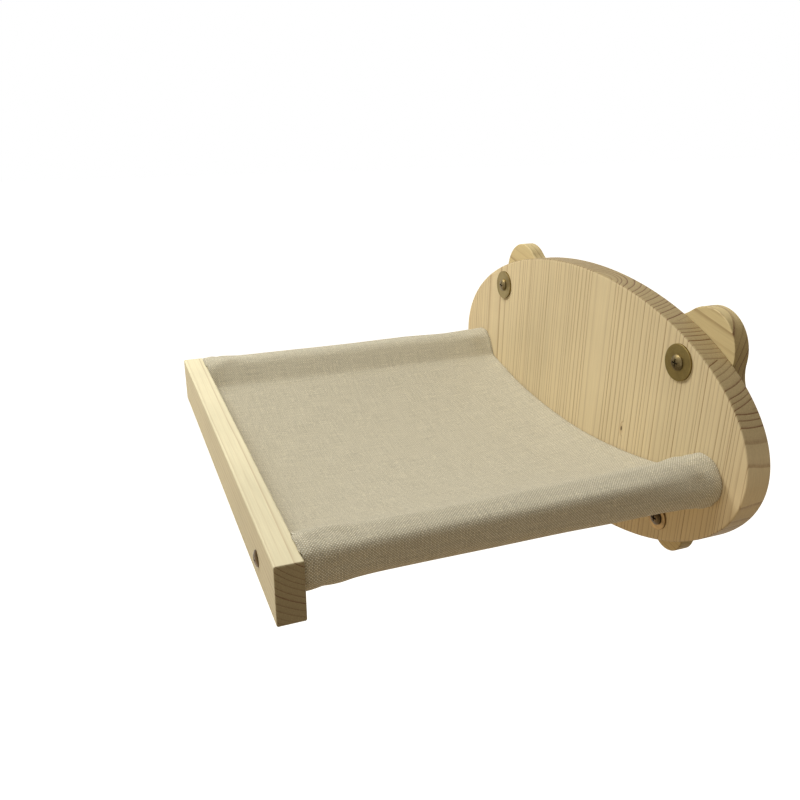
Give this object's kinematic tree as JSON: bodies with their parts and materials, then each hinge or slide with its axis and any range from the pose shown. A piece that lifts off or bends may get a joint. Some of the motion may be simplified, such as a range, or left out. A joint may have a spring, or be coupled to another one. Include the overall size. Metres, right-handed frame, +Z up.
{
  "type": "cat wall hammock",
  "caption": "Wall hammock for a cat: oval pine board with ears and feet, round arms out to a flat front rail, and a canvas sling sleeved over the arms.",
  "frame": {"origin": "centre of the four wall screws, on the wall plane at the back face of the rear board", "axes": "+Y into the wall, so the hammock reaches out along -Y; +Z up; +X to the right for someone who faces the wall"},
  "size_m": [0.423, 0.3753, 0.215],
  "materials": {
    "pine_board": "sanded bare pine, pale with darker growth lines",
    "pine_rail": "planed bare pine",
    "beech_dowel": "turned, bare",
    "canvas": "plain-woven beige cotton and linen canvas",
    "bronzed_washer": "antique brass plating, matt",
    "yellow_zinc_washer": "yellow zinc plating",
    "bronzed_screw": "antique brass plating, worn bright on the head",
    "zinc_screw": "zinc plating",
    "brass_insert": "turned"
  },
  "bodies": {
    "root": {"front_board": "pine_board", "rear_board": "pine_board", "front_rail": "pine_rail", "fabric_sling": "canvas", "rail_screw": "bronzed_screw", "dowel_left": "beech_dowel", "dowel_screw_left": "zinc_screw", "hanger_bolt_left": "zinc_screw", "rail_insert_left": "brass_insert", "dowel_right": "beech_dowel", "dowel_screw_right": "zinc_screw", "hanger_bolt_right": "zinc_screw", "rail_insert_right": "brass_insert", "wall_screw_upper_left": "bronzed_screw", "washer_upper_left": "bronzed_washer", "wall_screw_upper_right": "bronzed_screw", "washer_upper_right": "bronzed_washer", "wall_screw_lower_left": "bronzed_screw", "washer_lower_left": "yellow_zinc_washer", "wall_screw_lower_right": "bronzed_screw", "washer_lower_right": "yellow_zinc_washer"}
  },
  "joints": []
}
